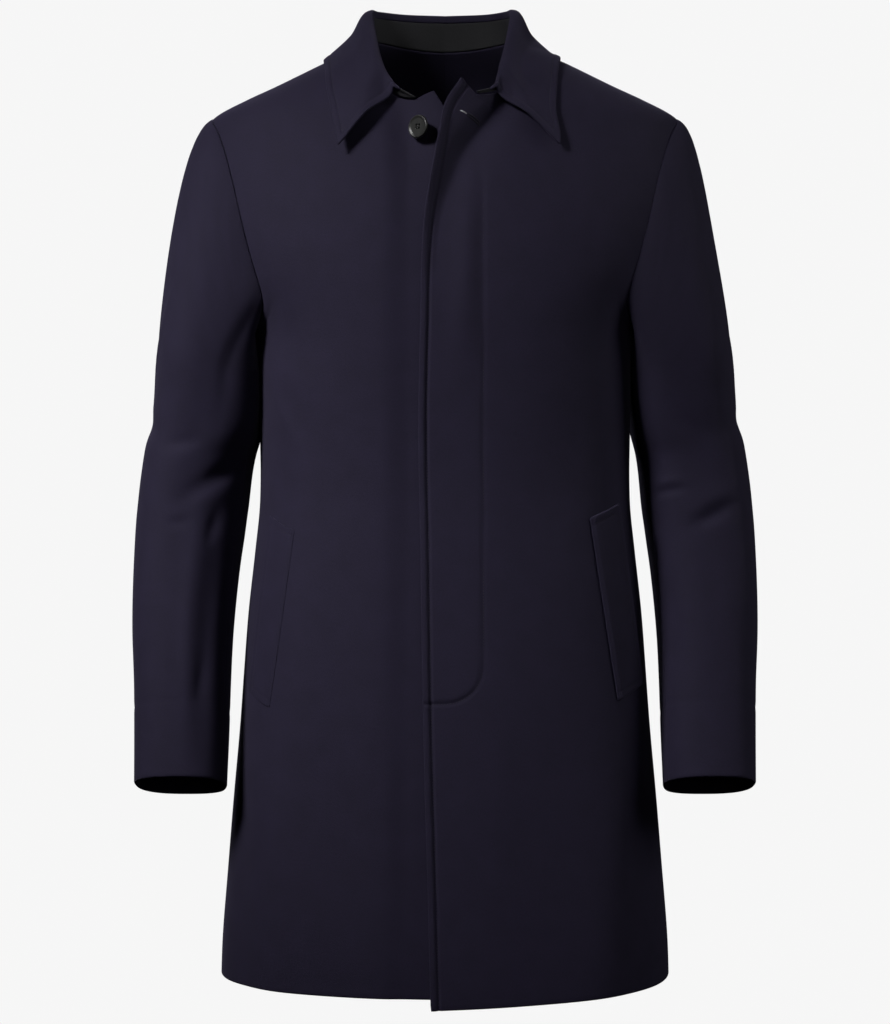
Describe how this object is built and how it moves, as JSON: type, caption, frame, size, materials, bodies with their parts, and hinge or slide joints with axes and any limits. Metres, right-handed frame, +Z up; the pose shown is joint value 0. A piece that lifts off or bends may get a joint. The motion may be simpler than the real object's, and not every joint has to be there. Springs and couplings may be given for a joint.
{
  "type": "single-breasted coat",
  "caption": "Navy wool coat with a concealed fly front, shirt collar, slanted welt pockets and two-piece set-in sleeves, hollow and open at neck, hem and cuffs, in its worn shape.",
  "frame": {"origin": "middle of the neck opening, level with the middle of the shoulder slope, where the shoulders that wear the coat carry it", "axes": "+Z up along the coat's length, -Y out of its front, +X to the wearer's left"},
  "size_m": [0.6202, 0.3055, 0.9793],
  "materials": {
    "navy_wool": "matt brushed twill",
    "charcoal_cloth": "matt undercollar cloth",
    "horn_plastic": "polished rim"
  },
  "bodies": {
    "root": {"front_left": "navy_wool", "front_right": "navy_wool", "back_left": "navy_wool", "back_right": "navy_wool", "sleeve_top_left": "navy_wool", "sleeve_under_left": "navy_wool", "sleeve_top_right": "navy_wool", "sleeve_under_right": "navy_wool", "collar_stand": "charcoal_cloth", "collar_leaf": "navy_wool", "pocket_welt_left": "navy_wool", "pocket_welt_right": "navy_wool", "button_neck": "horn_plastic"}
  },
  "joints": []
}
